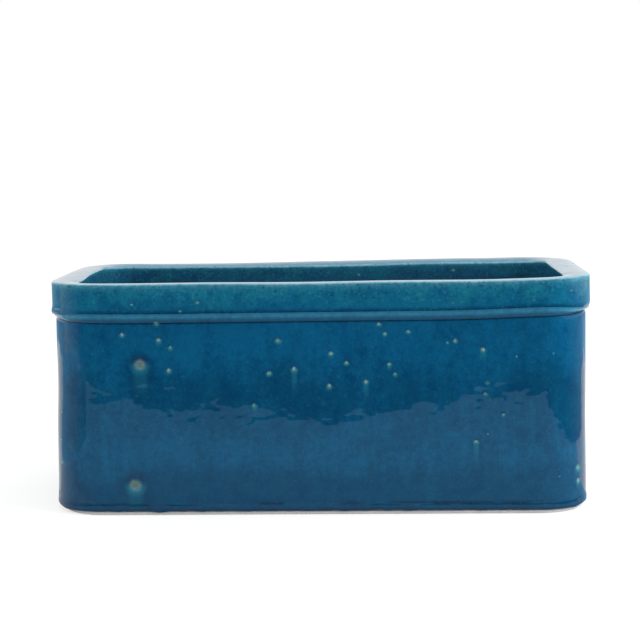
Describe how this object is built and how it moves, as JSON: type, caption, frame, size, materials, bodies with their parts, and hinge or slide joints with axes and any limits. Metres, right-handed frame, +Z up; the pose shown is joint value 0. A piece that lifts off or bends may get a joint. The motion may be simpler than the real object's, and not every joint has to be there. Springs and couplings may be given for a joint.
{
  "type": "jardiniere",
  "caption": "Long trough planter in glossy blue glazed ceramic, with rounded corners, a thick flat-topped collar round its mouth and a low bare foot.",
  "frame": {"origin": "on the ground, under the middle of the foot", "axes": "+X along the trough's length to its right end, -Y to the front, +Z up"},
  "size_m": [0.43, 0.186, 0.184],
  "materials": {
    "bare_clay": "unglazed pale fired clay, dry and matt",
    "wall_glaze": "glossy petrol-blue glaze, pooled darker low down, with pinholes and pale runs",
    "collar_glaze": "the same glaze, broken paler and greener over the edges of the rim"
  },
  "bodies": {
    "root": {"base_slab": "bare_clay", "wall_front": "wall_glaze", "wall_back": "wall_glaze", "wall_left": "wall_glaze", "wall_right": "wall_glaze", "wall_corner_front_left": "wall_glaze", "wall_corner_front_right": "wall_glaze", "wall_corner_back_left": "wall_glaze", "wall_corner_back_right": "wall_glaze", "collar_front": "collar_glaze", "collar_back": "collar_glaze", "collar_left": "collar_glaze", "collar_right": "collar_glaze", "collar_corner_front_left": "collar_glaze", "collar_corner_front_right": "collar_glaze", "collar_corner_back_left": "collar_glaze", "collar_corner_back_right": "collar_glaze"}
  },
  "joints": []
}
